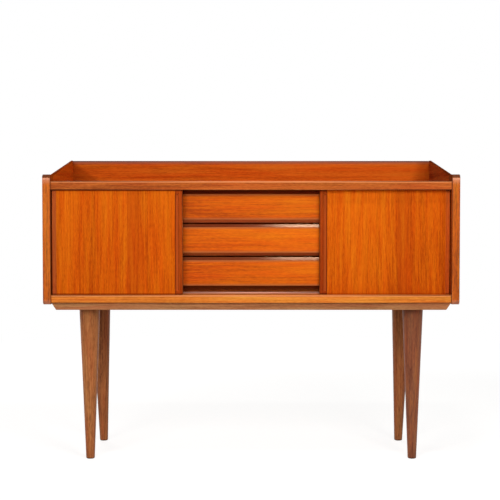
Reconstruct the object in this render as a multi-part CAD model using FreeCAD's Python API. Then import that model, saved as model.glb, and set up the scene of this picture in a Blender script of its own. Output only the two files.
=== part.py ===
import FreeCAD
import Part
import os

# A sideboard on four turned legs, with two sliding doors, three drawers and a raised gallery.
# Millimetres, +Z up, the front faces -Y, the origin is on the floor under the middle of the case.

# Overall sizes
case_width = 1200.0
case_depth = 420.0
opening_height = 302.0
leg_height = 443.0
bay_width = 397.0

# Thicknesses of the boards
end_thickness = 23.0
top_thickness = 26.0
bottom_thickness = 24.0
divider_thickness = 18.0
shelf_thickness = 16.0
back_thickness = 6.0
base_thickness = 21.0

# End panels and the solid lippings on their front edges
end_rise = 19.0
end_drop = 4.0
end_lipping_depth = 12.0
end_corner_radius = 11.0
end_edge_radius = 2.5

# Solid lippings on the front edges of the top and bottom boards
board_setback = 3.0
lipping_depth = 6.0
lipping_edge_radius = 2.5

# Gallery on the top board
gallery_thickness = 9.0
gallery_rear_height = 70.0
gallery_back_thickness = 10.0
gallery_back_drop = 1.5
gallery_edge_radius = 3.0

# Back panel in its rabbets
back_inset = 2.0
back_rabbet = 10.0
back_play = 0.3

# Doors, which run in grooves of the top and bottom boards
door_thickness = 9.0
door_face_play = 0.5
door_end_gap = 3.0
door_edge_radius = 1.0
track_land = 2.0
upper_groove_depth = 12.0
lower_groove_depth = 6.0
upper_engagement = 6.0
slide_gap = 0.3

# Solid strip on the outer edge of each door
door_lipping_width = 12.0

# Grip strip on the inner edge of each door
grip_width = 21.0
grip_front_radius = 3.0
grip_rear_radius = 1.5
scoop_radius = 5.0
scoop_depth = 6.0
scoop_inset = 6.0
scoop_end_gap = 10.0

# Drawers, which hang on runners in grooves of their sides
drawer_names = ("upper", "middle", "lower")
drawer_door_gap = 12.0
drawer_side_gap = 0.6
drawer_top_gap = 2.5
drawer_bottom_gap = 15.0
drawer_front_gap = 4.0
drawer_rear_gap = 27.0
drawer_box_gap = 8.0
drawer_front_thickness = 20.0
drawer_lip_thickness = 8.0
drawer_arris_radius = 1.0
bevel_height = 9.0
bevel_depth = 6.0
drawer_side_thickness = 12.0
drawer_side_margin = 9.0
drawer_side_radius = 1.5
drawer_back_thickness = 11.0
drawer_back_setback = 10.0
drawer_back_drop = 3.0
drawer_dado_depth = 3.5
drawer_bottom_thickness = 4.0
drawer_bottom_rise = 6.0
drawer_bottom_groove = 5.0
drawer_bottom_play = 0.2
tail_count = 3
tail_width_share = 0.6
tail_flare = 1.7

# Strip on the bottom board below the lowest drawer, and the rail that closes the bay behind that drawer's front
sill_height = 4.5
sill_edge_radius = 1.5
bay_rail_gap = 4.0
bay_rail_lap = 1.0
bay_rail_thickness = 12.0

# Runners on the dividers, which stand just behind the grips of the doors
divider_setback = 0.3
runner_height = 12.0
runner_engagement = 5.5
runner_play = 0.3
runner_front_gap = 30.0
runner_rear_gap = 7.0

# Shelves and their pins
shelf_height = 143.0
shelf_play = 1.0
shelf_front_gap = 15.0
shelf_rear_gap = 5.0
shelf_edge_radius = 1.5
pin_radius = 2.5
pin_depth = 10.0
pin_reach = 8.0
pin_inset = 70.0
pin_play = 0.05

# Base frame under the case
base_setback = 12.0
base_end_gap = 2.0
base_land = 3.0
base_bevel = 10.0
base_edge_radius = 3.0
base_rail_width = 110.0
base_side_width = 90.0

# Legs, their hanger bolts and threaded inserts
leg_top_diameter = 60.0
leg_foot_diameter = 25.0
leg_foot_radius = 4.0
leg_inset_side = 126.0
leg_inset_depth = 72.0
rear_leg_lean = 8.0
bolt_radius = 4.0
bolt_reach = 45.0
bolt_play = 0.1
insert_radius = 7.0
insert_length = 15.0
insert_flange_radius = 10.0
insert_flange_thickness = 1.5

# Dowels in the joints of the case
dowel_radius = 4.0
dowel_length = 32.0
dowel_play = 0.1
end_dowel_shares = (0.2, 0.5, 0.8)
divider_dowel_shares = (0.3, 0.75)

# Countersunk screws, whose heads follow the radius of the shank
base_screw_radius = 2.25
base_screw_length = 36.0
base_screw_shares = (-0.93, -0.6, -0.3, 0.3, 0.6, 0.93)
back_screw_radius = 1.5
back_screw_length = 20.0
back_screw_top_shares = (-0.92, -0.55, 0.0, 0.55, 0.92)
back_screw_side_shares = (0.2, 0.5, 0.8)
runner_screw_radius = 1.75
runner_screw_length = 26.0
runner_screw_shares = (0.1, 0.5, 0.9)
screw_head_share = 2.0
screw_head_height_share = 1.2
screw_slot_width_share = 0.45
screw_slot_depth_share = 0.5
screw_play = 0.1

# How far a cutting solid runs past the face that it cuts, and the distance at which two planes are one
overrun = 5.0
touch = 0.001

# Planes from front to back
front = -case_depth / 2
rear = case_depth / 2
board_front = front + board_setback
lip_back = board_front + lipping_depth
groove_width = door_thickness + 2 * door_face_play
rear_groove = lip_back + groove_width + track_land
drawer_face = rear_groove + groove_width + drawer_door_gap
drawer_front_back = drawer_face + drawer_front_thickness
bay_rail_front = drawer_front_back + bay_rail_gap
back_outer = rear - back_inset
back_inner = back_outer - back_thickness
drawer_end = back_inner - drawer_rear_gap
drawer_back_rear = drawer_end - drawer_back_setback
drawer_back_front = drawer_back_rear - drawer_back_thickness
runner_front = drawer_face + runner_front_gap
runner_rear = back_inner - runner_rear_gap
shelf_front = drawer_face + shelf_front_gap
shelf_rear = back_inner - shelf_rear_gap
base_front = front + base_setback
base_rear = rear - base_setback

# Levels from the floor up
base_top = leg_height + base_thickness
bottom_face = base_top + bottom_thickness
top_under = bottom_face + opening_height
top_face = top_under + top_thickness
end_bottom = base_top - end_drop
end_top = top_face + end_rise
back_top = top_under + back_rabbet
door_bottom = bottom_face - lower_groove_depth + slide_gap
door_top = top_under + upper_engagement
shelf_under = bottom_face + shelf_height
bottom_middle = base_top + bottom_thickness / 2
top_middle = top_under + top_thickness / 2

# Distances to each side of the middle plane
half_width = case_width / 2
inner_half = half_width - end_thickness
door_outer = inner_half - door_end_gap
bay_half = bay_width / 2
divider_inner = bay_half + divider_setback
divider_outer = divider_inner + divider_thickness
divider_middle = divider_inner + divider_thickness / 2
drawer_half = bay_half - drawer_side_gap
box_half = divider_inner - drawer_box_gap
box_inner = box_half - drawer_side_thickness
runner_inner = box_half - runner_engagement
base_half = inner_half - base_end_gap
leg_half = half_width - leg_inset_side

# Drawers, counted from the top
drawer_count = len(drawer_names)
drawer_stack = opening_height - drawer_top_gap - drawer_bottom_gap
drawer_pitch = (drawer_stack + drawer_front_gap) / drawer_count
drawer_front_height = drawer_pitch - drawer_front_gap
drawer_side_height = drawer_front_height - 2 * drawer_side_margin

# The base frame's legs, with the way that each foot leans towards the middle
leg_places = {
    "leg_front_left": (-leg_half, front + leg_inset_depth, 0.0),
    "leg_front_right": (leg_half, front + leg_inset_depth, 0.0),
    "leg_rear_left": (-leg_half, rear - leg_inset_depth, rear_leg_lean),
    "leg_rear_right": (leg_half, rear - leg_inset_depth, -rear_leg_lean),
}

along_x = FreeCAD.Vector(1, 0, 0)
along_y = FreeCAD.Vector(0, 1, 0)
along_z = FreeCAD.Vector(0, 0, 1)


# Helpers


def box(xs, ys, zs):
    corner = FreeCAD.Vector(xs[0], ys[0], zs[0])
    return Part.makeBox(xs[1] - xs[0], ys[1] - ys[0], zs[1] - zs[0], corner)


def about(middle, size):
    return (middle - size / 2, middle + size / 2)


def side_profile(outline, xs):
    """A prism along X of an outline given as (y, z) pairs."""
    points = [FreeCAD.Vector(xs[0], y, z) for y, z in outline]
    wire = Part.makePolygon(points + points[:1])
    return Part.Face(wire).extrude(along_x * (xs[1] - xs[0]))


def rectangle(half_length, ys, z):
    corners = [(-half_length, ys[0]), (half_length, ys[0]), (half_length, ys[1]), (-half_length, ys[1])]
    points = [FreeCAD.Vector(x, y, z) for x, y in corners]
    return Part.makePolygon(points + points[:1])


def mirrored(shape):
    return shape.mirror(FreeCAD.Vector(), along_x)


def both_sides(shapes):
    return shapes + [mirrored(shape) for shape in shapes]


def at(value, plane):
    return abs(value - plane) < touch


def rounded(shape, radius, chosen):
    """The shape with a radius on the edges whose bounding boxes are chosen."""
    return shape.makeFillet(radius, [edge for edge in shape.Edges if chosen(edge.BoundBox)])


def eased_front(board, radius, face):
    """The board with a radius on the two long edges of its front face."""
    return rounded(board, radius, lambda edge: at(edge.YMax, face) and edge.XLength > touch)


# Fasteners: each set is made to size for its own node, and with its play for the holes that it sits in


def dowels(play=0.0):
    places = []
    for side in (-1, 1):
        for z in (bottom_middle, top_middle):
            for share in end_dowel_shares:
                places.append((FreeCAD.Vector(side * inner_half, front + share * case_depth, z), along_x))
        for z in (bottom_face, top_under):
            for share in divider_dowel_shares:
                places.append((FreeCAD.Vector(side * divider_middle, front + share * case_depth, z), along_z))
    length = dowel_length + 2 * play
    return [Part.makeCylinder(dowel_radius + play, length, middle - axis * (length / 2), axis)
            for middle, axis in places]


def screw(radius, length, place, direction, play):
    """A countersunk screw, or with play the hole that it sits in."""
    head_radius = radius * screw_head_share
    head = Part.makeCone(head_radius + play, radius + play, radius * screw_head_height_share)
    form = head.fuse(Part.makeCylinder(radius + play, length + play))
    if play == 0:
        slot_x = about(0, 2 * head_radius + overrun)
        slot_y = about(0, radius * screw_slot_width_share)
        slot_z = about(0, 2 * radius * screw_slot_depth_share)
        form = form.cut(box(slot_x, slot_y, slot_z))
    form.Placement = FreeCAD.Placement(place, FreeCAD.Rotation(along_z, direction))
    return form


def base_screws(play=0.0):
    places = []
    for y in (base_front + base_rail_width / 2, base_rear - base_rail_width / 2):
        places += [FreeCAD.Vector(share * base_half, y, leg_height) for share in base_screw_shares]
    side_rail_middle = base_half - base_side_width / 2
    places += [FreeCAD.Vector(side * side_rail_middle, 0, leg_height) for side in (-1, 1)]
    return [screw(base_screw_radius, base_screw_length, place, along_z, play) for place in places]


def back_screws(play=0.0):
    places = []
    for share in back_screw_top_shares:
        places.append((share * inner_half, back_top - back_rabbet / 2))
        places.append((share * inner_half, bottom_middle))
    for x in (inner_half + back_rabbet / 2, divider_middle):
        for share in back_screw_side_shares:
            z = bottom_face + share * opening_height
            places += [(x, z), (-x, z)]
    return [screw(back_screw_radius, back_screw_length, FreeCAD.Vector(x, back_outer, z), -along_y, play)
            for x, z in places]


def runner_screws(play=0.0):
    screws = []
    for number in range(drawer_count):
        for share in runner_screw_shares:
            y = runner_front + share * (runner_rear - runner_front)
            place = FreeCAD.Vector(runner_inner, y, drawer_middle(number))
            screws.append(screw(runner_screw_radius, runner_screw_length, place, along_x, play))
    return both_sides(screws)


def shelf_pins(play=0.0):
    pins = []
    z = shelf_under - pin_radius
    for y in (shelf_front + pin_inset, shelf_rear - pin_inset):
        for x in (divider_outer - pin_depth, inner_half - pin_reach):
            place = FreeCAD.Vector(x, y, z)
            pins.append(Part.makeCylinder(pin_radius + play, pin_depth + pin_reach, place, along_x))
    return both_sides(pins)


def leg_bolts(play=0.0):
    length = bolt_reach + insert_length + 2 * play
    low = leg_height - bolt_reach - play
    return [Part.makeCylinder(bolt_radius + play, length, FreeCAD.Vector(x, y, low))
            for x, y, lean in leg_places.values()]


def leg_inserts(play=0.0):
    inserts = []
    for x, y, lean in leg_places.values():
        foot = FreeCAD.Vector(x, y, leg_height)
        barrel = Part.makeCylinder(insert_radius + play, insert_length + play, foot)
        flange = Part.makeCylinder(insert_flange_radius + play, insert_flange_thickness + play, foot)
        inserts.append(barrel.fuse(flange))
    return inserts


def threaded_inserts():
    holes = leg_bolts(bolt_play)
    return [insert.cut(holes) for insert in leg_inserts()]


# The case


def end_panel():
    board = box((inner_half, half_width), (front + end_lipping_depth, rear), (end_bottom, end_top))
    board = rounded(board, end_edge_radius, lambda edge: edge.YLength > touch and edge.XLength < touch)
    rabbet_x = (inner_half - overrun, inner_half + back_rabbet)
    rabbet = box(rabbet_x, (back_inner, rear + overrun), (end_bottom - overrun, back_top))
    return board.cut([rabbet] + dowels(dowel_play) + back_screws(screw_play) + shelf_pins(pin_play))


def end_lipping():
    strip_rear = front + end_lipping_depth
    strip = box((inner_half, half_width), (front, strip_rear), (end_bottom, end_top))
    strip = eased_front(strip, end_corner_radius, front)
    free_edge = strip_rear - touch
    return rounded(strip, end_edge_radius, lambda edge: edge.XLength < touch and edge.YMin < free_edge)


def door_grooves(zs):
    """The left door's groove in front of the right door's, each stopped at the far side of the bay."""
    front_groove_y = (lip_back - overrun, lip_back + groove_width)
    rear_groove_y = (rear_groove, rear_groove + groove_width)
    front_groove = box((-inner_half - overrun, bay_half), front_groove_y, zs)
    return [front_groove, box((-bay_half, inner_half + overrun), rear_groove_y, zs)]


def top_board():
    board = box((-inner_half, inner_half), (lip_back, rear), (top_under, top_face))
    grooves = door_grooves((top_under - overrun, top_under + upper_groove_depth))
    rabbet_x = (-inner_half - overrun, inner_half + overrun)
    rabbet = box(rabbet_x, (back_inner, rear + overrun), (top_under - overrun, back_top))
    return board.cut(grooves + [rabbet] + dowels(dowel_play) + back_screws(screw_play))


def bottom_board():
    board = box((-inner_half, inner_half), (lip_back, back_inner), (base_top, bottom_face))
    grooves = door_grooves((bottom_face - lower_groove_depth, bottom_face + overrun))
    return board.cut(grooves + dowels(dowel_play) + back_screws(screw_play) + base_screws(screw_play))


def board_lipping(zs):
    strip = box((-inner_half, inner_half), (board_front, lip_back), zs)
    return eased_front(strip, lipping_edge_radius, board_front)


def divider():
    board = box((divider_inner, divider_outer), (drawer_face, back_inner), (bottom_face, top_under))
    holes = dowels(dowel_play) + back_screws(screw_play) + runner_screws(screw_play) + shelf_pins(pin_play)
    return board.cut(holes)


def back_panel():
    reach = inner_half + back_rabbet - back_play
    panel = box((-reach, reach), (back_inner, back_outer), (base_top, back_top - back_play))
    return panel.cut(back_screws(screw_play))


def gallery_side():
    gallery_front = board_front + lipping_edge_radius
    peak = top_face + gallery_rear_height
    outline = [(gallery_front, top_face), (gallery_front, end_top), (rear, peak), (rear, top_face)]
    side = side_profile(outline, (inner_half - gallery_thickness, inner_half))
    return rounded(side, gallery_edge_radius, lambda edge: edge.YLength > touch and edge.ZLength > touch)


def gallery_back():
    half_length = inner_half - gallery_thickness
    crest = top_face + gallery_rear_height - gallery_back_drop
    board = box((-half_length, half_length), (rear - gallery_back_thickness, rear), (top_face, crest))
    return rounded(board, gallery_edge_radius, lambda edge: at(edge.ZMin, crest) and edge.XLength > touch)


def shelf():
    xs = (divider_outer + shelf_play, inner_half - shelf_play)
    board = box(xs, (shelf_front, shelf_rear), (shelf_under, shelf_under + shelf_thickness))
    return eased_front(board, shelf_edge_radius, shelf_front)


def bay_sill():
    crest = bottom_face + sill_height
    strip = box((-divider_inner, divider_inner), (drawer_face, bay_rail_front), (bottom_face, crest))
    return rounded(strip, sill_edge_radius, lambda edge: at(edge.YMax, drawer_face) and at(edge.ZMin, crest))


def bay_rail():
    crest = bottom_face + drawer_bottom_gap + bay_rail_lap
    ys = (bay_rail_front, bay_rail_front + bay_rail_thickness)
    return box((-divider_inner, divider_inner), ys, (bottom_face, crest))


# The base frame and the legs


def base_slab():
    """The outline of the whole frame: a land at the top, then a bevel all round."""
    land_under = base_top - base_land
    land = box((-base_half, base_half), (base_front, base_rear), (land_under, base_top))
    upper = rectangle(base_half, (base_front, base_rear), land_under)
    lower = rectangle(base_half - base_bevel, (base_front + base_bevel, base_rear - base_bevel), leg_height)
    slab = land.fuse(Part.makeLoft([lower, upper], True, True)).removeSplitter()
    return rounded(slab, base_edge_radius, lambda edge: at(edge.ZMax, leg_height))


def base_rails():
    slab = base_slab()
    holes = base_screws(screw_play) + leg_inserts(bolt_play) + leg_bolts(bolt_play)
    zs = (leg_height, base_top)
    across = (-base_half, base_half)
    front_inner = base_front + base_rail_width
    rear_inner = base_rear - base_rail_width
    side_inner = base_half - base_side_width
    places = {
        "base_rail_front": box(across, (base_front, front_inner), zs),
        "base_rail_rear": box(across, (rear_inner, base_rear), zs),
        "base_rail_left": box((-base_half, -side_inner), (front_inner, rear_inner), zs),
        "base_rail_right": box((side_inner, base_half), (front_inner, rear_inner), zs),
    }
    return {name: slab.common(place).cut(holes) for name, place in places.items()}


def leg(x, y, lean):
    foot = Part.Wire(Part.makeCircle(leg_foot_diameter / 2, FreeCAD.Vector(x + lean, y, 0)))
    head = Part.Wire(Part.makeCircle(leg_top_diameter / 2, FreeCAD.Vector(x, y, leg_height)))
    taper = Part.makeLoft([foot, head], True, True)
    taper = rounded(taper, leg_foot_radius, lambda edge: at(edge.ZMax, 0))
    return taper.cut(leg_bolts(bolt_play))


# The doors


def door_panel(face):
    xs = (bay_half + grip_width, door_outer - door_lipping_width)
    return box(xs, (face, face + door_thickness), (door_bottom, door_top))


def door_lipping(face):
    xs = (door_outer - door_lipping_width, door_outer)
    strip = box(xs, (face, face + door_thickness), (door_bottom, door_top))
    return rounded(strip, door_edge_radius, lambda edge: at(edge.XMin, door_outer) and edge.ZLength > touch)


def door_grip(face):
    """A strip with a finger scoop beside the panel and a rounded lip at the free edge."""
    strip = box((bay_half, bay_half + grip_width), (face, face + door_thickness), (door_bottom, door_top))
    strip = rounded(strip, grip_front_radius, lambda edge: at(edge.XMax, bay_half) and at(edge.YMax, face))
    back = face + door_thickness
    strip = rounded(strip, grip_rear_radius, lambda edge: at(edge.XMax, bay_half) and at(edge.YMin, back))
    x = bay_half + grip_width - scoop_inset
    y = face + scoop_depth - scoop_radius
    low = FreeCAD.Vector(x, y, bottom_face + scoop_end_gap + scoop_radius)
    high = FreeCAD.Vector(x, y, top_under - scoop_end_gap - scoop_radius)
    scoop = Part.makeCylinder(scoop_radius, high.z - low.z, low)
    return strip.cut([scoop, Part.makeSphere(scoop_radius, low), Part.makeSphere(scoop_radius, high)])


# The drawers


def drawer_middle(number):
    return top_under - drawer_top_gap - number * drawer_pitch - drawer_front_height / 2


def tails(number):
    """The dovetails at the front end of a right-hand drawer side."""
    pitch = drawer_side_height / tail_count
    root = pitch * tail_width_share / 2
    tip = root + tail_flare
    tail_front = drawer_face + drawer_lip_thickness
    lowest = drawer_middle(number) - drawer_side_height / 2
    shapes = []
    for tail in range(tail_count):
        z = lowest + (tail + 1 / 2) * pitch
        outline = [(tail_front, z - tip), (drawer_front_back, z - root),
                   (drawer_front_back, z + root), (tail_front, z + tip)]
        shapes.append(side_profile(outline, (box_inner, box_half)))
    return shapes


def drawer_bottom_level(number):
    return drawer_middle(number) - drawer_side_height / 2 + drawer_bottom_rise


def drawer_bottom_slot(number):
    """The groove round the drawer that takes its bottom."""
    reach = box_inner + drawer_bottom_groove
    low = drawer_bottom_level(number) - drawer_bottom_play
    high = drawer_bottom_level(number) + drawer_bottom_thickness + drawer_bottom_play
    return box((-reach, reach), (drawer_front_back - drawer_bottom_groove, drawer_end + overrun), (low, high))


def drawer_front(number):
    middle = drawer_middle(number)
    low, high = about(middle, drawer_front_height)
    bevel_back = drawer_face + bevel_depth
    outline = [(drawer_face, low + bevel_height), (drawer_face, high - bevel_height), (bevel_back, high),
               (drawer_front_back, high), (drawer_front_back, low), (bevel_back, low)]
    board = side_profile(outline, (-drawer_half, drawer_half))
    board = eased_front(board, drawer_arris_radius, drawer_face)
    lap_y = (drawer_face + drawer_lip_thickness, drawer_front_back + overrun)
    lap = box((box_half, drawer_half + overrun), lap_y, (low - overrun, high + overrun))
    return board.cut(both_sides([lap] + tails(number)) + [drawer_bottom_slot(number)])


def drawer_side(number):
    middle = drawer_middle(number)
    board = box((box_inner, box_half), (drawer_front_back, drawer_end), about(middle, drawer_side_height))
    top = middle + drawer_side_height / 2
    board = rounded(board, drawer_side_radius, lambda edge: at(edge.ZMin, top) and edge.YLength > touch)
    groove_x = (runner_inner - runner_play, box_half + overrun)
    groove_y = (runner_front - runner_play, drawer_end + overrun)
    groove = box(groove_x, groove_y, about(middle, runner_height + 2 * runner_play))
    dado_x = (box_inner - overrun, box_inner + drawer_dado_depth)
    dado = box(dado_x, (drawer_back_front, drawer_back_rear), (drawer_bottom_level(number), top + overrun))
    return board.fuse(tails(number)).cut([groove, dado, drawer_bottom_slot(number)])


def drawer_back(number):
    reach = box_inner + drawer_dado_depth
    low = drawer_bottom_level(number) + drawer_bottom_thickness
    high = drawer_middle(number) + drawer_side_height / 2 - drawer_back_drop
    return box((-reach, reach), (drawer_back_front, drawer_back_rear), (low, high))


def drawer_bottom(number):
    reach = box_inner + drawer_bottom_groove - drawer_bottom_play
    low = drawer_bottom_level(number)
    ys = (drawer_front_back - drawer_bottom_groove + drawer_bottom_play, drawer_end)
    return box((-reach, reach), ys, (low, low + drawer_bottom_thickness))


def runner(number):
    zs = about(drawer_middle(number), runner_height)
    strip = box((runner_inner, divider_inner), (runner_front, runner_rear), zs)
    return strip.cut(runner_screws(screw_play))


# All nodes


def case_nodes():
    nodes = {
        "top_board": top_board(),
        "top_lipping": board_lipping((top_under, top_face)),
        "bottom_board": bottom_board(),
        "bottom_lipping": board_lipping((base_top, bottom_face)),
        "back_panel": back_panel(),
        "gallery_back": gallery_back(),
        "bay_sill": bay_sill(),
        "bay_rail": bay_rail(),
    }
    pairs = {
        "end_panel": end_panel(),
        "end_lipping": end_lipping(),
        "divider": divider(),
        "gallery": gallery_side(),
        "shelf": shelf(),
    }
    for name, shape in pairs.items():
        nodes[name + "_left"] = mirrored(shape)
        nodes[name + "_right"] = shape
    return nodes


def stand_nodes():
    nodes = base_rails()
    for name, place in leg_places.items():
        nodes[name] = leg(*place)
    return nodes


def fastener_nodes():
    sets = {
        "case_dowels": dowels(),
        "shelf_pins": shelf_pins(),
        "back_screws": back_screws(),
        "base_screws": base_screws(),
        "runner_screws": runner_screws(),
        "leg_bolts": leg_bolts(),
        "leg_inserts": threaded_inserts(),
    }
    return {name: Part.makeCompound(shapes) for name, shapes in sets.items()}


def door_nodes():
    left_face = lip_back + door_face_play
    right_face = rear_groove + door_face_play
    return {
        "door_panel_left": mirrored(door_panel(left_face)),
        "door_grip_left": mirrored(door_grip(left_face)),
        "door_lipping_left": mirrored(door_lipping(left_face)),
        "door_panel_right": door_panel(right_face),
        "door_grip_right": door_grip(right_face),
        "door_lipping_right": door_lipping(right_face),
    }


def drawer_nodes():
    nodes = {}
    for number, name in enumerate(drawer_names):
        side = drawer_side(number)
        rail = runner(number)
        nodes["drawer_" + name + "_front"] = drawer_front(number)
        nodes["drawer_" + name + "_side_left"] = mirrored(side)
        nodes["drawer_" + name + "_side_right"] = side
        nodes["drawer_" + name + "_back"] = drawer_back(number)
        nodes["drawer_" + name + "_bottom"] = drawer_bottom(number)
        nodes["runner_" + name + "_left"] = mirrored(rail)
        nodes["runner_" + name + "_right"] = rail
    return nodes


os.makedirs("parts", exist_ok=True)
for make_nodes in (case_nodes, stand_nodes, fastener_nodes, door_nodes, drawer_nodes):
    for node_name, node_shape in make_nodes().items():
        node_shape.exportStep("parts/" + node_name + ".step")
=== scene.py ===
import bpy
import math
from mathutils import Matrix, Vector


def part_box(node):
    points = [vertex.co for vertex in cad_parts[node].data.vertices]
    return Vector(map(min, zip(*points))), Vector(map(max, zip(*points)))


# The looks of a teak sideboard with sliding doors, drawers and a gallery. Metres, the front faces -Y.

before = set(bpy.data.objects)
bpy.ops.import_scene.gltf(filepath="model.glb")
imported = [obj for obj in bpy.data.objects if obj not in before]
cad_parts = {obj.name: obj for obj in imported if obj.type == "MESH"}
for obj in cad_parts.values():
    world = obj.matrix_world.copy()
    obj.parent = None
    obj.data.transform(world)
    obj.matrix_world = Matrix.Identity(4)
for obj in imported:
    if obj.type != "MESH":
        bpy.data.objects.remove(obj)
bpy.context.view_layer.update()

# Axes of the frame, and of a board: along the grain, across it and through the board
along_x, along_y, along_z = range(3)
along, across, through = range(3)

# A screen's levels of colour: the highest, and the curve from level to light with its straight toe
full_level = 255
toe_share = 0.04045
toe_slope = 12.92
curve_offset = 0.055
curve_power = 2.4

# Camera
camera_place = (-0.0035, -3.837, 0.772)
camera_pitch = 0.0425
camera_lens = 90.96
sensor_width = 36.0

# Eased edges of the boards
easing = 0.0006
easing_segments = 2
easing_angle = 0.7
weld_distance = 0.00002

# Drawer fronts: height of a bevel, and how sharply the veneer of the face ends there
drawer_bevel_height = 0.009
arris_blur = 0.0003

# Doors: joint of the two leaves of veneer, to the right of the door's middle, and taper of the log
leaf_joint = 0.0325
door_taper = 0.07

# Piths of logs: across a board's face from its middle, and behind it
far_pith = (0.42, 0.06)
drawer_pith = (0.25, 0.04)

# Patterns in wood: repeats in a metre along the grain and across it, then levels of detail
usual_detail = 2.0
patterns = {
    "slow": (1.3, 6.0, usual_detail),
    "quick": (7.0, 70.0, usual_detail),
    "band": (0.9, 44.0, usual_detail),
    "streak": (1.6, 170.0, usual_detail),
    "dash": (9.0, 230.0, usual_detail),
    "fibre": (75.0, 560.0, usual_detail),
    "cloud": (1.2, 5.0, usual_detail),
    "hue": (5.0, 60.0, 3.0),
}
pore_pattern = (34.0, 1300.0, 1.0)
rub_pattern = (14.0, 60.0, 3.0)
seed_shift = (3.7, 1.3, 2.1)

# Growth rings: how far they wander, bands of colour in a metre of radius, and the dark end of each ring
slow_wander = 0.002
quick_wander = 0.0003
ring_bands = {"broad": 48.0, "middle": 150.0, "fine": 430.0}
rings_per_metre = 210.0
ring_width_swing = 1.6
late_wood_start = {"gone": 0.45, "full": 0.93}
late_wood_end = {"gone": 1.0, "full": 0.95}

# Tone, roughness and relief of wood: the share of each pattern, and the tones of the three colours
tone_shares = {
    "broad": 0.14, "middle": 0.08, "fine": 0.05, "band": 0.28, "streak": 0.16,
    "dash": 0.42, "fibre": 0.40, "cloud": 0.40,
}
roughness_shares = {"pore": 0.1, "fibre": -0.06, "worn": 0.06, "soaked": 0.12, "cloud": 0.05}
relief_shares = {"fibre": 0.3, "pore": -0.6, "late": -0.2}
pale_tone = 1.0
middle_tone = 0.5
dark_tone = 0.0
noise_range = (0.3, 0.7)
swing_range = (-0.5, 0.5)
pore_edge = {"gone": 0.58, "full": 0.66}
usual_hue = 0.36
relief = {"Strength": 0.25, "Distance": 0.0003}

# Long edges that hands and cloths rub, also a painted highlight along the arrises: how wide the rubbed line
# gets, and how it ends
rub_fibre_share = 0.2
rub_range = (0.3, 0.8)
rub_width_range = (0.0005, 0.0032)
rub_edge = {"gone": 0.0, "full": 0.8}

# Dark places: colour against the dark wood, oil in end grain, dirt and painted shade at a board's ends,
# seams, and painted shade on crests
deep_shares = (0.42, 0.40, 0.45)
usual_soak = 0.8
end_grain_edge = {"gone": 0.02, "full": 0.2}
grime_reach = 0.0035
# At the ends of a door or strip held in a groove, the dark band under the lipping is painted shade as well as
# dirt
groove_grime_reach = 0.011
grime_edge = {"gone": 0.0, "full": -0.003}
seam_reach = 0.0024
seam_edge = {"gone": 0.0, "full": -0.0018, "share": 0.75}
no_seam = 1.0
crest_shade_edge = {"gone": 0.3, "full": 0.9}

# Marks of use and of painted light and shade: distance where a mark is gone, distance where it is full, and
# its share there
cap_start = {"gone": 0.0100, "full": 0.0120}
cap_highlight = {"gone": 0.0180, "full": 0.0135, "share": 0.85}
cap_soft_highlight = {"gone": 0.0320, "full": 0.0150, "share": 0.35}
foot_pale = {"gone": 0.017, "full": 0.005, "share": 0.38}
top_arris_start = {"gone": 0.0004, "full": 0.0016}
top_arris_highlight = {"gone": 0.0058, "full": 0.0034, "share": 0.75}
scoop_painted_light = {"gone": 0.0008, "full": 0.003, "share": 0.6}
sill_pale_top = {"gone": 0.0016, "full": 0.0026, "share": 0.95}
crest_sheen = {"gone": 0.014, "full": 0.0, "share": 0.85}
left_corner_shadow = {"gone": 0.008, "full": -0.014, "share": 0.40}
right_corner_shadow = {"gone": 0.05, "full": 0.008, "share": 0.44}
leaf_start = {"gone": 0.0, "full": 0.0012}
leaf_tone = {"gone": 0.07, "full": 0.0, "share": 0.42}
lipping_shade = {"gone": 0.018, "full": 0.0, "share": 0.16}
rail_shadow = {"gone": 0.0075, "full": 0.0015, "share": 0.6}
rail_soft_shadow = {"gone": 0.08, "full": 0.0, "share": 0.36}
drawer_arris_highlight = {"gone": 0.0085, "full": 0.0, "share": 0.85}

# Slopes of the painted shadow in the gallery's corners, and oil in the end grain of a post, from its foot to
# its top
left_corner_slope = 1.35
right_corner_slope = 0.35
post_oil_span = (-0.1, 0.1)
post_oil_range = (0.30, 0.92)

# Tint of the shine of oiled wood
warm_shine = (1.0, 0.66, 0.42, 1.0)

# Metals: tarnish, scratches and relief
tarnish_pattern = (180.0, 180.0, 180.0)
tarnish_detail = 3.0
tarnish_edge = {"gone": 0.4, "full": 0.7}
tarnish_roughness = 0.2
scratch_pattern = (2600.0, 400.0, 2600.0)
scratch_relief = {"Strength": 0.2, "Distance": 0.0001}

# Floor and background
white = (1.0, 1.0, 1.0, 1.0)
floor_reach = 14.0
floor_colors = ((236, 234, 230), (244, 243, 240))
floor_pattern = (1.5, 1.5, 1.5)
floor_detail = 3.0
floor_roughness = 0.8
floor_gloss = 0.1
floor_near = {"gone": 3.2, "full": 1.6}
floor_glow = 1.0
floor_near_glow = 0.34
floor_shadow_share = 0.4
ambient_strength = 0.22
background_strength = 1.0

# Lamps: place, the point that it faces, width and height, and power
case_middle = (0.0, 0.0, 0.55)
drawer_bevels = (0.12, -0.165, 0.65)
lamps = {
    "key_left": ((-1.5, -3.65, 2.2), case_middle, (1.3, 1.7), 56.5),
    "key_right": ((1.0, -2.5, 1.9), case_middle, (0.7, 1.1), 28.0),
    "overhead": ((0.26, -0.93, 2.4), drawer_bevels, (0.28, 0.14), 9.0),
    "rear_fill": ((-1.0, 3.2, 1.6), case_middle, (1.8, 1.4), 34.0),
}


def srgb(red, green, blue):
    """A colour as it looks on a screen, in linear light."""
    def linear(level):
        share = level / full_level
        if share <= toe_share:
            return share / toe_slope
        return ((share + curve_offset) / (1 + curve_offset)) ** curve_power
    return (linear(red), linear(green), linear(blue), 1.0)


# Node trees


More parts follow.
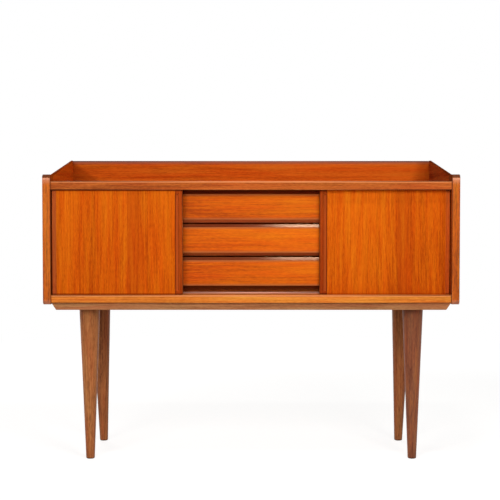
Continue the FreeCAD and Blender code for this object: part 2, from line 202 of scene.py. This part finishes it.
class Tree:
    """Adds nodes to a node tree. An input is a plain value or the output of another node."""

    def __init__(self, tree):
        self.nodes = tree.nodes
        self.links = tree.links

    def feed(self, node, inputs):
        for name, value in inputs.items():
            if isinstance(value, bpy.types.NodeSocket):
                self.links.new(value, node.inputs[name])
            else:
                node.inputs[name].default_value = value

    def add(self, kind, inputs, **settings):
        node = self.nodes.new(kind)
        for name, value in settings.items():
            setattr(node, name, value)
        self.feed(node, inputs)
        return node

    def math(self, operation, first, second=0.0):
        return self.add("ShaderNodeMath", {0: first, 1: second}, operation=operation).outputs[0]

    def vector(self, operation, first, second):
        return self.add("ShaderNodeVectorMath", {0: first, 1: second}, operation=operation).outputs[0]

    def length(self, vector):
        return self.add("ShaderNodeVectorMath", {0: vector}, operation="LENGTH").outputs["Value"]

    def parts(self, vector):
        return self.add("ShaderNodeSeparateXYZ", {0: vector}).outputs

    def point(self):
        """A point of an object's surface, in the object's own frame."""
        return self.add("ShaderNodeTexCoord", {}).outputs["Object"]

    def noise(self, vector, stretch, detail=usual_detail):
        inputs = {"Vector": self.vector("MULTIPLY", vector, stretch), "Scale": 1.0, "Detail": detail}
        return self.add("ShaderNodeTexNoise", inputs).outputs[0]

    def line_noise(self, value, scale):
        inputs = {"W": value, "Scale": scale, "Detail": usual_detail}
        return self.add("ShaderNodeTexNoise", inputs, noise_dimensions="1D").outputs[0]

    def swing(self, noise):
        """A noise as a swing to both sides of zero."""
        low, high = noise_range
        start, end = swing_range
        return self.add("ShaderNodeMapRange", {0: noise, 1: low, 2: high, 3: start, 4: end}).outputs[0]

    def slope(self, value, low, high):
        """The value's place between low and high, from 0 to 1."""
        return self.add("ShaderNodeMapRange", {0: value, 1: low, 2: high}).outputs[0]

    def span(self, value, first, last, start=0.0, end=1.0):
        """The value's place between first and last, as a smooth step from start to end."""
        inputs = {0: value, 1: first, 2: last, 3: start, 4: end}
        return self.add("ShaderNodeMapRange", inputs, interpolation_type="SMOOTHSTEP").outputs[0]

    def fade(self, value, gone, full, share=1.0):
        """A smooth step from nothing, where the value is at gone, to a share, where it is at full."""
        return self.span(value, gone, full, 0.0, share)

    def sum(self, first, *others):
        for other in others:
            first = self.math("ADD", first, other)
        return first

    def most(self, first, *others):
        for other in others:
            first = self.math("MAXIMUM", first, other)
        return first

    def weigh(self, values, shares):
        """Each value that has a share, times its share."""
        return [self.math("MULTIPLY", values[name], share) for name, share in shares.items()]

    def mix(self, share, first, second):
        return self.add("ShaderNodeMix", {0: share, 6: first, 7: second}, data_type="RGBA").outputs[2]


def new_group(name, inputs, outputs):
    """A node group, with its inputs' sockets by name and its outputs' node."""
    group = bpy.data.node_groups.new(name, "ShaderNodeTree")
    for direction, sockets in (("INPUT", inputs), ("OUTPUT", outputs)):
        for kind, socket_names in sockets.items():
            for socket_name in socket_names:
                group.interface.new_socket(socket_name, in_out=direction, socket_type="NodeSocket" + kind)
    return group, group.nodes.new("NodeGroupInput").outputs, group.nodes.new("NodeGroupOutput")


def board_place_group():
    """A point of a board, measured from its middle, and inwards from its edges, ends and one side."""
    group, given, result = new_group(
        "board_place",
        {"Vector": ("Point", "Middle", "Half"), "Float": ("Joint",)},
        {"Vector": ("Place",), "Float": ("Long edge", "End", "Side")},
    )
    tree = Tree(group)
    place = tree.vector("SUBTRACT", given["Point"], given["Middle"])
    size = tree.add("ShaderNodeVectorMath", {0: place}, operation="ABSOLUTE").outputs[0]
    inside = tree.parts(tree.vector("SUBTRACT", given["Half"], size))
    towards_joint = tree.math("MULTIPLY", tree.parts(place)[across], given["Joint"])
    tree.feed(result, {
        "Place": place,
        "Long edge": tree.most(inside[across], inside[through]),
        "End": inside[along],
        "Side": tree.math("SUBTRACT", tree.parts(given["Half"])[across], towards_joint),
    })
    return group


def wood_group():
    """Wood cut from a log. The grain runs along X, and the pith is a line beside the board."""
    group, given, result = new_group(
        "wood",
        {
            "Vector": ("Place", "Pith"),
            "Float": (
                "Long edge", "End", "Side", "End grain", "Up", "Seed", "Taper", "Contrast", "Hue", "Fade",
                "Rings", "Pores", "Wear and highlight", "Marks and painted light", "Grime and shade", "Grime reach", "Crest shade", "Soak", "Shaded", "Dull",
            ),
            "Color": ("Light", "Middle", "Dark", "Mark and painted light colour"),
        },
        {"Color": ("Color",), "Float": ("Roughness", "Height")},
    )
    tree = Tree(group)
    place = given["Place"]
    sample = tree.vector("ADD", place, tree.vector("MULTIPLY", given["Seed"], seed_shift))

    def grain_noise(lengthwise, crosswise, detail):
        return tree.noise(sample, (lengthwise, crosswise, crosswise), detail)

    # Streaks, fibres and pores along the grain
    shown = {name: tree.swing(grain_noise(*pattern)) for name, pattern in patterns.items()}
    shown["pore"] = tree.fade(grain_noise(*pore_pattern), **pore_edge)

    # Distance from the pith, with the wander of a real trunk
    beside_pith = tree.vector("MULTIPLY", tree.vector("SUBTRACT", place, given["Pith"]), (0.0, 1.0, 1.0))
    forward = tree.parts(place)[along]
    radius = tree.sum(
        tree.length(beside_pith),
        tree.math("MULTIPLY", forward, given["Taper"]),
        *tree.weigh(shown, {"slow": slow_wander, "quick": quick_wander}),
        given["Seed"],
    )

    # Bands of colour that follow the growth rings, and the dark line that ends each ring
    for name, scale in ring_bands.items():
        shown[name] = tree.swing(tree.line_noise(radius, scale))
    turns = tree.math("MULTIPLY", radius, rings_per_metre)
    turns = tree.sum(turns, tree.math("MULTIPLY", shown["broad"], ring_width_swing))
    ring = tree.math("FRACT", turns)
    late_start = tree.fade(ring, **late_wood_start)
    shown["late"] = tree.math("MULTIPLY", late_start, tree.fade(ring, **late_wood_end))

    # Colour of clean wood, with Fade as a painted gradient of light along the grain
    tone = tree.math("MULTIPLY", tree.sum(*tree.weigh(shown, tone_shares)), given["Contrast"])
    tone = tree.sum(tone, tree.math("MULTIPLY", forward, given["Fade"]), middle_tone)
    tone = tree.math("SUBTRACT", tone, tree.math("MULTIPLY", shown["late"], given["Rings"]))
    tone = tree.math("SUBTRACT", tone, tree.math("MULTIPLY", shown["pore"], given["Pores"]))
    color = tree.mix(tree.slope(tone, middle_tone, pale_tone), given["Middle"], given["Light"])
    color = tree.mix(tree.slope(tone, middle_tone, dark_tone), color, given["Dark"])
    cool = tree.sum(1.0, tree.math("MULTIPLY", shown["hue"], given["Hue"]))
    tint = tree.add("ShaderNodeCombineXYZ", {0: 1.0, 1: cool, 2: cool}).outputs[0]
    color = tree.vector("MULTIPLY", color, tint)

    # Long edges rubbed by hands and cloths, partly a painted highlight on the arrises, and other marks, many
    # of them painted light and shade
    rub = tree.sum(grain_noise(*rub_pattern), tree.math("MULTIPLY", shown["fibre"], rub_fibre_share))
    rub_width = tree.span(rub, *rub_range, *rub_width_range)
    rubbed_and_lit_edge = tree.math("SUBTRACT", 1.0, tree.math("DIVIDE", given["Long edge"], rub_width))
    rubbed_and_lit_edge = tree.math("MULTIPLY", tree.fade(rubbed_and_lit_edge, **rub_edge), given["Wear and highlight"])
    shown["worn"] = tree.most(rubbed_and_lit_edge, given["Marks and painted light"])
    color = tree.mix(shown["worn"], color, given["Mark and painted light colour"])

    # End grain drinks more oil, and old polish with painted shade gathers where a board's end meets its
    # neighbour. Crests and the Shaded places get painted shade.
    deep = tree.vector("MULTIPLY", given["Dark"], deep_shares)
    shown["soaked"] = tree.math("MULTIPLY", tree.fade(given["End grain"], **end_grain_edge), given["Soak"])
    past_grime = tree.math("SUBTRACT", given["End"], given["Grime reach"])
    grime_and_shade = tree.math("MULTIPLY", tree.fade(past_grime, **grime_edge), given["Grime and shade"])
    seam = tree.fade(tree.math("SUBTRACT", given["Side"], seam_reach), **seam_edge)
    # Painted shade: surfaces that face up are darker, as little light falls on them from above
    crest = tree.math("MULTIPLY", tree.fade(given["Up"], **crest_shade_edge), given["Crest shade"])
    color = tree.mix(tree.most(shown["soaked"], grime_and_shade, seam, crest, given["Shaded"]), color, deep)

    tree.feed(result, {
        "Color": color,
        "Roughness": tree.sum(given["Dull"], *tree.weigh(shown, roughness_shares)),
        "Height": tree.sum(*tree.weigh(shown, relief_shares)),
    })
    return group


board_place = board_place_group()
wood = wood_group()


def new_material(name):
    """A material with its tree and its surface shader."""
    material = bpy.data.materials.new(name)
    material.use_nodes = True
    tree = Tree(material.node_tree)
    surface = material.node_tree.nodes["Principled BSDF"]
    return material, tree, surface


# Woods: colours of pale, middle and dark grain and of worn places, then the strength of what they show. The
# fourth colour also serves painted highlights, painted light and painted shadow where the marks below use it

strip_look = {
    "Contrast": 0.8, "Rings": 0.08, "Pores": 0.10, "Grime and shade": 0.75, "Grime reach": groove_grime_reach,
    "Dull": 0.40, "gloss": 0.12,
}
gallery_look = {"Contrast": 0.85, "Rings": 0.06, "Pores": 0.10, "Grime and shade": 0.1, "Dull": 0.42, "gloss": 0.0}
leg_look = {"Contrast": 1.1, "Rings": 0.16, "Pores": 0.12, "Grime and shade": 0.2, "Dull": 0.42, "gloss": 0.25}
pale_look = {"Hue": 0.12, "Wear and highlight": 0.3, "Grime and shade": 0.2}

woods = {
    # Fade on doors and drawers is a painted gradient of light along the grain
    "door": {
        "colors": [(230, 116, 14), (208, 90, 6), (160, 54, 2), (172, 60, 6)],
        "Contrast": 0.85, "Fade": 0.35, "Rings": 0.06, "Pores": 0.14, "Grime and shade": 0.75,
        "Grime reach": groove_grime_reach, "Dull": 0.46, "gloss": 0.06,
    },
    # The drawer's worn colour is the pale of the painted highlight along its arrises
    "drawer": {
        "colors": [(238, 120, 9), (216, 94, 4), (168, 60, 2), (176, 98, 52)],
        "Contrast": 0.8, "Fade": 0.45, "Rings": 0.06, "Pores": 0.14, "Dull": 0.44, "gloss": 0.2,
    },
    "drawer_edge": {
        "colors": [(136, 60, 18), (116, 46, 12), (84, 30, 8), (196, 108, 52)],
        "Contrast": 0.8, "Rings": 0.06, "Pores": 0.10, "Wear and highlight": 0.3, "Grime and shade": 0.3, "Dull": 0.14, "gloss": 0.2,
    },
    "panel": {
        "colors": [(216, 106, 24), (198, 86, 16), (146, 54, 8), (222, 128, 56)],
        "Contrast": 0.9, "Rings": 0.10, "Pores": 0.10, "Dull": 0.46, "gloss": 0.1,
    },
    # The lippings' worn colour is a painted highlight along their upper arris as well as wear
    "edge": {
        "colors": [(206, 108, 42), (184, 88, 30), (138, 58, 14), (234, 148, 92)],
        "Contrast": 1.1, "Rings": 0.08, "Pores": 0.10, "Wear and highlight": 0.5, "Grime and shade": 0.7, "Dull": 0.40, "gloss": 0.2,
    },
    # The end lippings' worn colour is the pale pink of the painted highlight under the rounded top
    "end_edge": {
        "colors": [(216, 112, 30), (196, 94, 20), (124, 54, 18), (228, 158, 128)],
        "Contrast": 1.1, "Rings": 0.08, "Pores": 0.10, "Wear and highlight": 0.3, "Dull": 0.3, "gloss": 0.3,
    },
    "edge_light": {
        "colors": [(240, 152, 64), (224, 130, 46), (184, 92, 24), (222, 138, 92)],
        "Contrast": 0.9, "Rings": 0.08, "Pores": 0.08, "Wear and highlight": 0.3, "Grime and shade": 0.7, "Dull": 0.40, "gloss": 0.2,
    },
    "door_edge": {
        "colors": [(210, 100, 32), (190, 80, 22), (140, 50, 10), (208, 112, 58)],
        **strip_look,
    },
    "door_edge_dark": {
        "colors": [(190, 88, 36), (170, 72, 27), (124, 46, 14), (190, 102, 58)],
        **strip_look,
    },
    # The grip's worn colour also serves as painted light inside its scoop
    "grip": {
        "colors": [(184, 78, 18), (165, 61, 9), (116, 38, 5), (192, 88, 34)],
        **strip_look, "Wear and highlight": 0.5, "Soak": 0.0, "Dull": 0.38, "gloss": 0.1,
    },
    "top": {
        "colors": [(216, 104, 26), (196, 84, 14), (146, 52, 6), (216, 124, 60)],
        "Contrast": 0.9, "Rings": 0.10, "Pores": 0.10, "Grime and shade": 0.3, "Dull": 0.40, "gloss": 0.2,
    },
    # Gallery woods: their Crest shade is painted shade on surfaces that face up
    "gallery": {
        "colors": [(222, 104, 26), (202, 88, 18), (152, 56, 10), (196, 116, 70)],
        **gallery_look, "Wear and highlight": 0.2, "Crest shade": 0.6,
    },
    # The gallery's back: its worn colour is the grey of a painted sheen along the crest
    "gallery_back": {
        "colors": [(216, 103, 27), (197, 87, 19), (150, 56, 11), (138, 96, 84)],
        **gallery_look, "Crest shade": 0.2,
    },
    "gallery_dark": {
        "colors": [(176, 84, 33), (152, 65, 24), (108, 41, 13), (176, 100, 60)],
        **gallery_look, "Wear and highlight": 0.2, "Crest shade": 0.55,
    },
    "inside": {
        "colors": [(196, 112, 50), (176, 92, 36), (122, 56, 20), (206, 136, 80)],
        "Contrast": 0.9, "Rings": 0.10, "Pores": 0.10, "Wear and highlight": 0.2, "Grime and shade": 0.3, "Dull": 0.52, "gloss": 0.2,
    },
    "base": {
        "colors": [(208, 142, 94), (184, 120, 76), (132, 74, 40), (208, 152, 112)],
        "Contrast": 0.8, "Rings": 0.08, "Pores": 0.10, "Wear and highlight": 0.3, "Dull": 0.42, "gloss": 0.2,
    },
    # On legs the worn colour is the dark of the painted shadow under the rail
    "leg": {
        "colors": [(194, 122, 70), (166, 98, 54), (112, 60, 32), (86, 44, 24)],
        **leg_look,
    },
    "leg_brown": {
        "colors": [(180, 110, 62), (153, 89, 50), (104, 55, 31), (80, 40, 24)],
        **leg_look,
    },
    "leg_dark": {
        "colors": [(164, 92, 52), (134, 76, 52), (96, 50, 36), (76, 38, 26)],
        **leg_look,
    },
    "sill": {
        "colors": [(192, 120, 84), (172, 102, 70), (138, 78, 52), (236, 174, 150)],
        "Contrast": 0.8, "Rings": 0.06, "Pores": 0.10, "Grime and shade": 0.2, "Dull": 0.5, "gloss": 0.25,
    },
    "drawer_box": {
        "colors": [(218, 184, 136), (204, 166, 116), (166, 122, 76), (222, 194, 152)],
        **pale_look, "Contrast": 0.8, "Rings": 0.14, "Pores": 0.14, "Dull": 0.58, "gloss": 0.2,
    },
    "plywood": {
        "colors": [(226, 178, 126), (210, 156, 104), (170, 114, 70), (226, 184, 138)],
        **pale_look, "Contrast": 0.9, "Rings": 0.16, "Pores": 0.10, "Dull": 0.6, "gloss": 0.15,
    },
    "beech": {
        "colors": [(216, 172, 124), (200, 152, 104), (164, 112, 70), (222, 186, 142)],
        **pale_look, "Contrast": 0.7, "Rings": 0.08, "Pores": 0.16, "Dull": 0.5, "gloss": 0.25,
    },
}

# The rear door lies deeper under the lipping, where its own shadow line is darker, so the painted shade at
# its ends is lighter
woods["door_behind"] = {**woods["door"], "Grime and shade": 0.35}


# Marks of use, and painted light and shade


class Board:
    """A point of a board, measured from the board's middle on its three axes, and the board's half size."""

    def __init__(self, tree, place, half):
        self.tree = tree
        self.place = place
        self.half = half

    def from_start(self, axis):
        """Distance from the lower, left or front end of an axis."""
        return self.tree.sum(self.place[axis], self.half[axis])

    def from_end(self, axis):
        """Distance from the upper, right or rear end of an axis."""
        return self.tree.math("SUBTRACT", self.half[axis], self.place[axis])


def at_post_ends(tree, board):
    """A painted highlight just under a post's rounded top, and a paler foot."""
    down = board.from_end(along)
    cap = tree.most(tree.fade(down, **cap_highlight), tree.fade(down, **cap_soft_highlight))
    cap = tree.math("MULTIPLY", tree.fade(down, **cap_start), cap)
    return tree.most(cap, tree.fade(board.from_start(along), **foot_pale))


def in_cap(tree, board):
    """The end grain of a post's top is dark with oil, and that of its foot is worn bare."""
    return tree.span(board.place[along], *post_oil_span, *post_oil_range)


def along_top(tree, board):
    """A painted highlight along the upper arris of a front edge."""
    down = board.from_end(across)
    return tree.math("MULTIPLY", tree.fade(down, **top_arris_start), tree.fade(down, **top_arris_highlight))


def in_scoop(tree, board):
    """Painted light lifts the inside of a scoop, where its own shade falls."""
    return tree.fade(board.from_start(through), **scoop_painted_light)


def above_foot(tree, board):
    """A sill is paler above its foot."""
    return tree.fade(board.from_start(through), **sill_pale_top)


def along_crest(tree, board):
    """A painted sheen, pale and grey, along the upper edge of the gallery's back."""
    return tree.fade(board.from_end(across), **crest_sheen)


def in_corners(tree, board):
    """Painted shadow darkens the corners behind the gallery's sides, reaching furthest at their feet."""
    down = board.from_end(across)
    left_start = tree.math("MULTIPLY", down, left_corner_slope)
    right_start = tree.math("MULTIPLY", down, right_corner_slope)
    left = tree.math("SUBTRACT", board.from_start(along), left_start)
    right = tree.math("SUBTRACT", board.from_end(along), right_start)
    return tree.most(tree.fade(left, **left_corner_shadow), tree.fade(right, **right_corner_shadow))


def second_leaf(tree, board):
    """The second leaf of veneer is darker beside its joint with the first."""
    beyond = tree.math("SUBTRACT", board.place[across], leaf_joint)
    return tree.math("MULTIPLY", tree.fade(beyond, **leaf_start), tree.fade(beyond, **leaf_tone))


def beside_lipping(inward):
    """Painted shade darkens a door's panel beside its outer lipping."""
    def shade(tree, board):
        inside = tree.sum(board.half[across], tree.math("MULTIPLY", board.place[across], inward))
        return tree.fade(inside, **lipping_shade)
    return shade


def under_rail(tree, board):
    """Painted shadow on a leg under the rail, darkest where they meet."""
    down = board.from_end(along)
    return tree.most(tree.fade(down, **rail_shadow), tree.fade(down, **rail_soft_shadow))


def along_arrises(tree, board):
    """A painted highlight along the arrises of a drawer's bevels."""
    arris = board.half[across] - drawer_bevel_height
    inside = tree.math("SUBTRACT", arris, tree.math("ABSOLUTE", board.place[across]))
    return tree.fade(inside, **drawer_arris_highlight)


# Materials


def cut_wood(tree, name, kind, grain, seed, pith, taper=0.0, joint=0, rub=None, shade=None, soak=None):
    """A node's wood. The pith is given across the face, then behind it. The joint is at one of the sides."""
    low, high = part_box(name)
    half = (high - low) / 2
    middle = (low + high) / 2
    order = [grain] + sorted((axis for axis in range(3) if axis != grain), key=lambda axis: -half[axis])
    half_size = [half[axis] for axis in order]
    parts = tree.parts(tree.point())
    point = tree.add("ShaderNodeCombineXYZ", {slot: parts[axis] for slot, axis in enumerate(order)})
    normal = tree.add("ShaderNodeNewGeometry", {}).outputs["Normal"]
    spaces = {"vector_type": "NORMAL", "convert_from": "WORLD", "convert_to": "OBJECT"}
    normal = tree.parts(tree.add("ShaderNodeVectorTransform", {0: normal}, **spaces).outputs[0])
    place_inputs = {
        "Point": point.outputs[0],
        "Middle": [middle[axis] for axis in order],
        "Half": half_size,
        "Joint": joint,
    }
    place = tree.add("ShaderNodeGroup", place_inputs, node_tree=board_place).outputs
    inputs = {socket_name: place[socket_name] for socket_name in ("Place", "Long edge", "End")}
    inputs["Side"] = place["Side"] if joint else no_seam
    inputs["End grain"] = tree.math("ABSOLUTE", normal[grain])
    inputs["Up"] = normal[along_z]
    inputs.update({"Pith": (0.0, *pith), "Seed": seed, "Taper": taper})
    inputs.update({"Grime reach": grime_reach, "Soak": usual_soak, "Hue": usual_hue})
    board = Board(tree, tree.parts(place["Place"]), half_size)
    # rub and shade bring masks of wear and of painted light and shade
    for socket_name, mark in (("Marks and painted light", rub), ("Shaded", shade), ("Soak", soak)):
        if mark:
            inputs[socket_name] = mark(tree, board)
    for socket_name, color in zip(("Light", "Middle", "Dark", "Mark and painted light colour"), woods[kind]["colors"]):
        inputs[socket_name] = srgb(*color)
    inputs.update((key, value) for key, value in woods[kind].items() if key not in ("colors", "gloss"))
    return tree.add("ShaderNodeGroup", inputs, node_tree=wood).outputs


def finish_wood(tree, surface, color, roughness, height, gloss):
    """Oiled wood with a fine relief and a warm shine."""
    bump = tree.add("ShaderNodeBump", {"Height": height, **relief})
    tree.feed(surface, {
        "Base Color": color,
        "Roughness": roughness,
        "Normal": bump.outputs[0],
        "Specular IOR Level": gloss,
        "Specular Tint": warm_shine,
    })


def wood_material(name, kind, grain, seed, pith, **figure):
    """One cut of wood."""
    material, tree, surface = new_material(name)
    cut = cut_wood(tree, name, kind, grain, seed, pith, **figure)
    finish_wood(tree, surface, cut["Color"], cut["Roughness"], cut["Height"], woods[kind]["gloss"])
    return material


def drawer_front_material(name, seed, lower_lipping_light):
    """Veneer on the face, and darker solid lippings along the bevelled edges."""
    material, tree, surface = new_material(name)
    face = cut_wood(tree, name, "drawer", along_x, seed, drawer_pith, rub=along_arrises)
    edge = cut_wood(tree, name, "drawer_edge", along_x, seed, far_pith)
    low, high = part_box(name)
    arris = (high.z - low.z) / 2 - drawer_bevel_height
    height = tree.math("SUBTRACT", tree.parts(tree.point())[along_z], (low.z + high.z) / 2)
    upper = tree.span(height, arris - arris_blur, arris + arris_blur)
    lower = tree.span(height, arris_blur - arris, -arris_blur - arris)
    color = tree.mix(upper, face["Color"], edge["Color"])
    # The lower lipping's tone is painted light and shade, set for each drawer
    color = tree.mix(lower, color, tree.vector("MULTIPLY", edge["Color"], [lower_lipping_light] * 3))
    share = tree.most(upper, lower)
    rough = tree.add("ShaderNodeMix", {0: share, 2: face["Roughness"], 3: edge["Roughness"]}).outputs[0]
    smooth = tree.math("MULTIPLY", face["Height"], tree.math("SUBTRACT", 1.0, share))
    finish_wood(tree, surface, color, rough, smooth, woods["drawer"]["gloss"])
    return material


def metal_material(name, pale, dull, roughness):
    """Bare metal with a tarnish that comes and goes."""
    material, tree, surface = new_material(name)
    point = tree.point()
    tarnish = tree.fade(tree.noise(point, tarnish_pattern, tarnish_detail), **tarnish_edge)
    bump = tree.add("ShaderNodeBump", {"Height": tree.noise(point, scratch_pattern), **scratch_relief})
    tree.feed(surface, {
        "Base Color": tree.mix(tarnish, srgb(*pale), srgb(*dull)),
        "Roughness": tree.sum(tree.math("MULTIPLY", tarnish, tarnish_roughness), roughness),
        "Normal": bump.outputs[0],
        "Metallic": 1.0,
    })
    return material


# Which wood each node is cut from: kind, grain, and the pith across the face and behind it

cuts = {
    "top_board": ("top", along_x, (0.05, 0.07)),
    "bottom_board": ("inside", along_x, (0.1, 0.09)),
    "gallery_left": ("gallery", along_y, far_pith),
    "gallery_right": ("gallery_dark", along_y, far_pith),
    "end_panel_left": ("panel", along_z, (0.03, 0.05)),
    "end_panel_right": ("panel", along_z, (-0.04, 0.05)),
    "divider_left": ("inside", along_z, (0.05, 0.08)),
    "divider_right": ("inside", along_z, (-0.05, 0.08)),
    "shelf_left": ("inside", along_x, (0.04, 0.08)),
    "shelf_right": ("inside", along_x, (-0.04, 0.08)),
    "back_panel": ("plywood", along_x, (0.02, 0.04)),
    "base_rail_front": ("base", along_x, far_pith),
    "base_rail_rear": ("base", along_x, far_pith),
    "base_rail_left": ("base", along_y, far_pith),
    "base_rail_right": ("base", along_y, far_pith),
    "case_dowels": ("beech", along_x, far_pith),
    "bay_rail": ("inside", along_x, far_pith),
}

# Drawers: seed of the front, and tone of its lower lipping against the upper one, a painted light and shade
# that is lighter on the upper drawer and darker on the lowest
drawers = {"upper": (0.1472, 2.0), "middle": (0.374, 1.4), "lower": (0.3565, 0.6)}
for drawer in drawers:
    cuts["drawer_" + drawer + "_back"] = ("drawer_box", along_x, far_pith)
    cuts["drawer_" + drawer + "_bottom"] = ("plywood", along_x, (0.03, 0.05))
    for side in ("left", "right"):
        cuts["drawer_" + drawer + "_side_" + side] = ("drawer_box", along_y, far_pith)
        cuts["runner_" + drawer + "_" + side] = ("beech", along_y, far_pith)

# Legs: kind, seed and pith
legs = {
    "leg_front_left": ("leg", 0.4125, (0.01, 0.05)),
    "leg_rear_left": ("leg_brown", 0.4255, (0.01, 0.05)),
    "leg_rear_right": ("leg_brown", 0.2096, (0.01, 0.05)),
    "leg_front_right": ("leg_dark", 0.9093, (0.03, 0.06)),
}

# Doors: the way in from the outer edge, the panel's kind, seed and pith, the lipping's kind, the strips' seed
doors = {
    "left": (1, "door", 0.9545, (0.034, 0.025), "door_edge_dark", 0.75),
    "right": (-1, "door_behind", 0.4719, (-0.039, 0.025), "door_edge", 0.494),
}

# Long strips and the gallery's back: kind and marks
long_fronts = {
    # The gallery's back: a painted sheen along its crest and painted shadow in its corners
    "gallery_back": ("gallery_back", {"rub": along_crest, "shade": in_corners}),
    "top_lipping": ("edge", {"rub": along_top}),
    # The bottom lipping's seam along its foot is a dark joint and a painted shadow line above the base
    "bottom_lipping": ("edge_light", {"joint": -1, "rub": along_top}),
    "bay_sill": ("sill", {"rub": above_foot}),
}

# Seeds of the boards, in the order of their lists
board_seed_step = 0.021
front_first_seed = 0.37
front_seed_step = 0.19

steel = metal_material("steel", (176, 172, 164), (112, 104, 94), 0.32)
brass = metal_material("brass", (206, 168, 92), (140, 104, 52), 0.28)
metals = {
    "shelf_pins": brass, "leg_inserts": brass, "leg_bolts": steel,
    "back_screws": steel, "base_screws": steel, "runner_screws": steel,
}


def ease_edges(obj):
    """Takes the sharp corners off a board."""
    weld = obj.modifiers.new("joined_corners", "WELD")
    weld.merge_threshold = weld_distance
    bevel = obj.modifiers.new("eased_edges", "BEVEL")
    bevel.width = easing
    bevel.segments = easing_segments
    bevel.limit_method = "ANGLE"
    bevel.angle_limit = easing_angle
    bevel.harden_normals = True


def dress(name, material):
    """Gives a node its material."""
    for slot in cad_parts[name].material_slots:
        slot.material = material


def dress_wood(name, *cut, **figure):
    """Gives a node a wood of its own."""
    dress(name, wood_material(name, *cut, **figure))


for number, (name, (kind, grain, pith)) in enumerate(cuts.items()):
    dress_wood(name, kind, grain, board_seed_step * (number + 1), pith)
for name, (kind, seed, pith) in legs.items():
    dress_wood(name, kind, along_z, seed, pith, rub=under_rail)
for drawer, (seed, lower_lipping_light) in drawers.items():
    name = "drawer_" + drawer + "_front"
    dress(name, drawer_front_material(name, seed, lower_lipping_light))
for side, (inward, kind, seed, pith, edge_kind, strip_seed) in doors.items():
    figure = {"taper": door_taper, "rub": second_leaf, "shade": beside_lipping(inward)}
    dress_wood("door_panel_" + side, kind, along_z, seed, pith, **figure)
    strips = {
        "door_grip_": ("grip", {"joint": -inward, "rub": in_scoop}),
        "door_lipping_": (edge_kind, {}),
        "end_lipping_": ("end_edge", {"joint": inward, "rub": at_post_ends, "soak": in_cap}),
    }
    for start, (strip_kind, marks) in strips.items():
        dress_wood(start + side, strip_kind, along_z, strip_seed, far_pith, **marks)
for number, (name, (kind, marks)) in enumerate(long_fronts.items()):
    dress_wood(name, kind, along_x, front_first_seed + front_seed_step * number, far_pith, **marks)
for name, material in metals.items():
    dress(name, material)
for name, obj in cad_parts.items():
    if name not in metals and not name.startswith("leg_"):
        ease_edges(obj)


# Floor, background, lights and camera


def floor_material():
    """A pale floor that shows the shadow near the object and fades into white further off."""
    material, tree, surface = new_material("studio_floor")
    point = tree.point()
    cloud = tree.noise(point, floor_pattern, floor_detail)
    tree.feed(surface, {
        "Base Color": tree.mix(cloud, *(srgb(*color) for color in floor_colors)),
        "Roughness": floor_roughness,
        "Specular IOR Level": floor_gloss,
    })
    path = tree.add("ShaderNodeLightPath", {}).outputs
    near = tree.fade(tree.length(point), **floor_near)
    near = tree.math("MULTIPLY", path["Is Camera Ray"], near)
    strength = tree.sum(floor_glow, tree.math("MULTIPLY", near, floor_near_glow))
    glow = tree.add("ShaderNodeEmission", {"Color": white, "Strength": strength})
    seen = tree.most(path["Is Glossy Ray"], path["Is Transmission Ray"], path["Is Camera Ray"])
    share = tree.math("SUBTRACT", seen, tree.math("MULTIPLY", near, floor_shadow_share))
    both = tree.add("ShaderNodeMixShader", {0: share, 1: surface.outputs[0], 2: glow.outputs[0]})
    tree.feed(material.node_tree.nodes["Material Output"], {"Surface": both.outputs[0]})
    return material


def add_floor():
    """A level floor under the feet, far wider than the view."""
    corners = [(x * floor_reach, y * floor_reach, 0.0) for x, y in ((-1, -1), (1, -1), (1, 1), (-1, 1))]
    mesh = bpy.data.meshes.new("floor")
    mesh.from_pydata(corners, [], [tuple(range(len(corners)))])
    mesh.materials.append(floor_material())
    floor = bpy.data.objects.new("floor", mesh)
    bpy.context.scene.collection.objects.link(floor)


def add_world():
    """A white background that lights the object only a little."""
    world = bpy.data.worlds.new("studio")
    world.use_nodes = True
    bpy.context.scene.world = world
    tree = Tree(world.node_tree)
    path = tree.add("ShaderNodeLightPath", {}).outputs
    seen = tree.most(path["Is Camera Ray"], path["Is Glossy Ray"], path["Is Transmission Ray"])
    strength = tree.span(seen, 0.0, 1.0, ambient_strength, background_strength)
    tree.feed(world.node_tree.nodes["Background"], {"Color": white, "Strength": strength})


def add_lamp(name, place, target, size, power):
    """A flat lamp that faces its target."""
    light = bpy.data.lights.new(name, "AREA")
    light.shape = "RECTANGLE"
    light.size, light.size_y = size
    light.energy = power
    lamp = bpy.data.objects.new(name, light)
    lamp.location = place
    lamp.rotation_euler = (Vector(target) - Vector(place)).to_track_quat("-Z", "Y").to_euler()
    bpy.context.scene.collection.objects.link(lamp)


def add_camera():
    """The view of the photo."""
    data = bpy.data.cameras.new("camera")
    data.lens = camera_lens
    data.sensor_width = sensor_width
    camera = bpy.data.objects.new("camera", data)
    camera.location = camera_place
    camera.rotation_euler = (math.pi / 2 - camera_pitch, 0.0, 0.0)
    bpy.context.scene.collection.objects.link(camera)
    bpy.context.scene.camera = camera


add_floor()
add_world()
add_camera()
for name, lamp in lamps.items():
    add_lamp(name, *lamp)

bpy.context.scene.view_settings.view_transform = "Standard"
